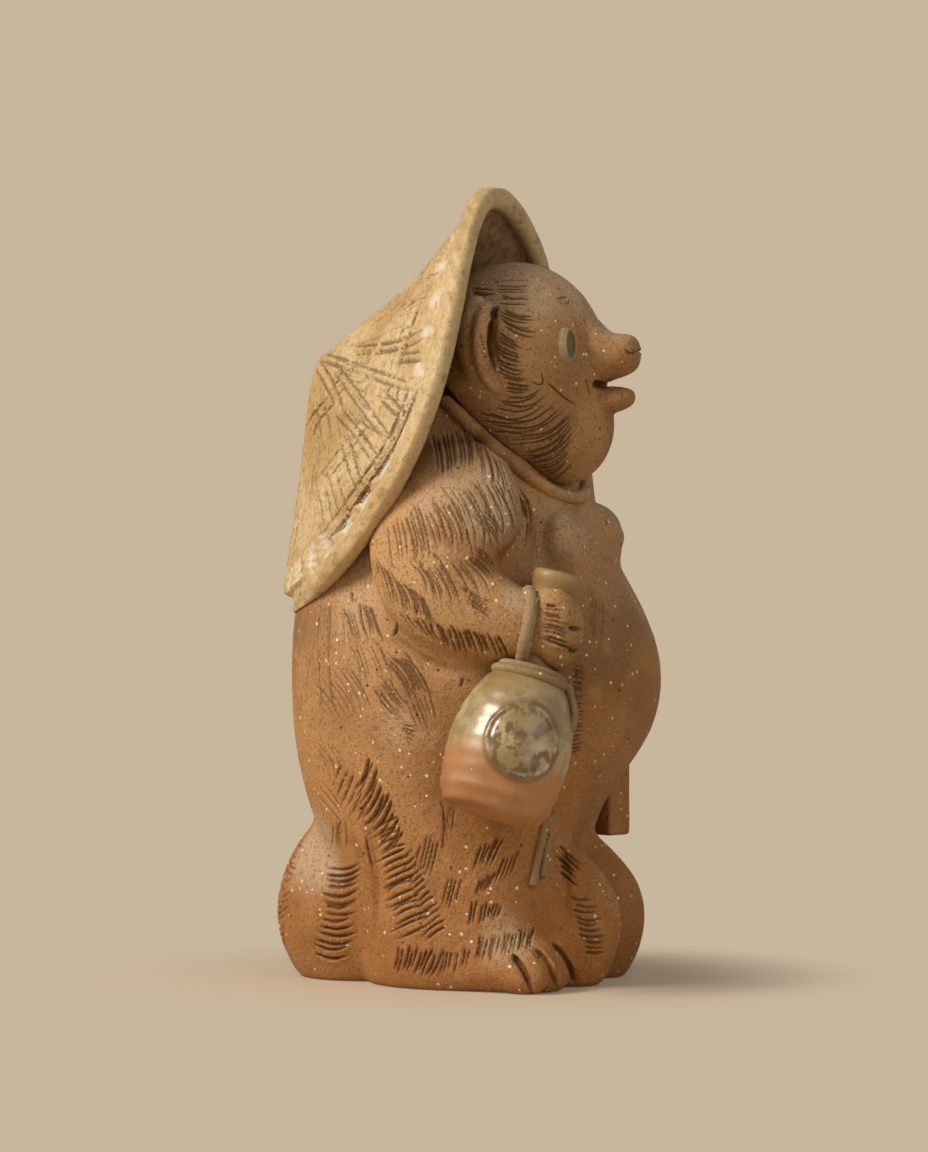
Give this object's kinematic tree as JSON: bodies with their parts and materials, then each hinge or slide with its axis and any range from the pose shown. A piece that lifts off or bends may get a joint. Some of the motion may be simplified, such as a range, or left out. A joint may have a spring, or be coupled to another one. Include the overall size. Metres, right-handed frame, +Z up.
{
  "type": "standing raccoon-dog figurine",
  "caption": "Stoneware raccoon-dog figurine that stands with a sedge hat hung behind its head, a flask at the wrist and a book under the arm; an ornament for a shelf or doorway.",
  "frame": {"origin": "on the floor under the middle of the torso, in the middle of the open base", "axes": "+Z up; the figure faces -Y and its right hand is at -X"},
  "size_m": [0.2062, 0.1739, 0.353],
  "materials": {
    "clay": "unglazed red-brown stoneware with feldspar grains",
    "eye_clay": "pale slip on stoneware",
    "hat_glaze": "ochre ash glaze",
    "flask_glaze": "cream to grey-green ash glaze"
  },
  "bodies": {
    "root": {"torso_front": "clay", "torso_back": "clay", "head": "clay", "jaw": "clay", "eye_right": "eye_clay", "eye_left": "eye_clay", "ear_right": "clay", "ear_left": "clay", "hat": "hat_glaze", "hat_rim": "hat_glaze", "hat_wad": "clay", "hat_cord": "clay", "arm_right": "clay", "arm_left": "clay", "paw_right": "clay", "paw_left": "clay", "flask": "flask_glaze", "flask_medallion": "flask_glaze", "flask_cord_ring": "flask_glaze", "flask_strap": "flask_glaze", "flask_cord_knot": "flask_glaze", "flask_cord_end": "clay", "account_book": "clay", "tail": "clay", "pouch_right": "clay", "pouch_left": "clay", "foot_right": "clay", "foot_left": "clay", "nipple_right": "clay", "nipple_left": "clay"}
  },
  "joints": []
}
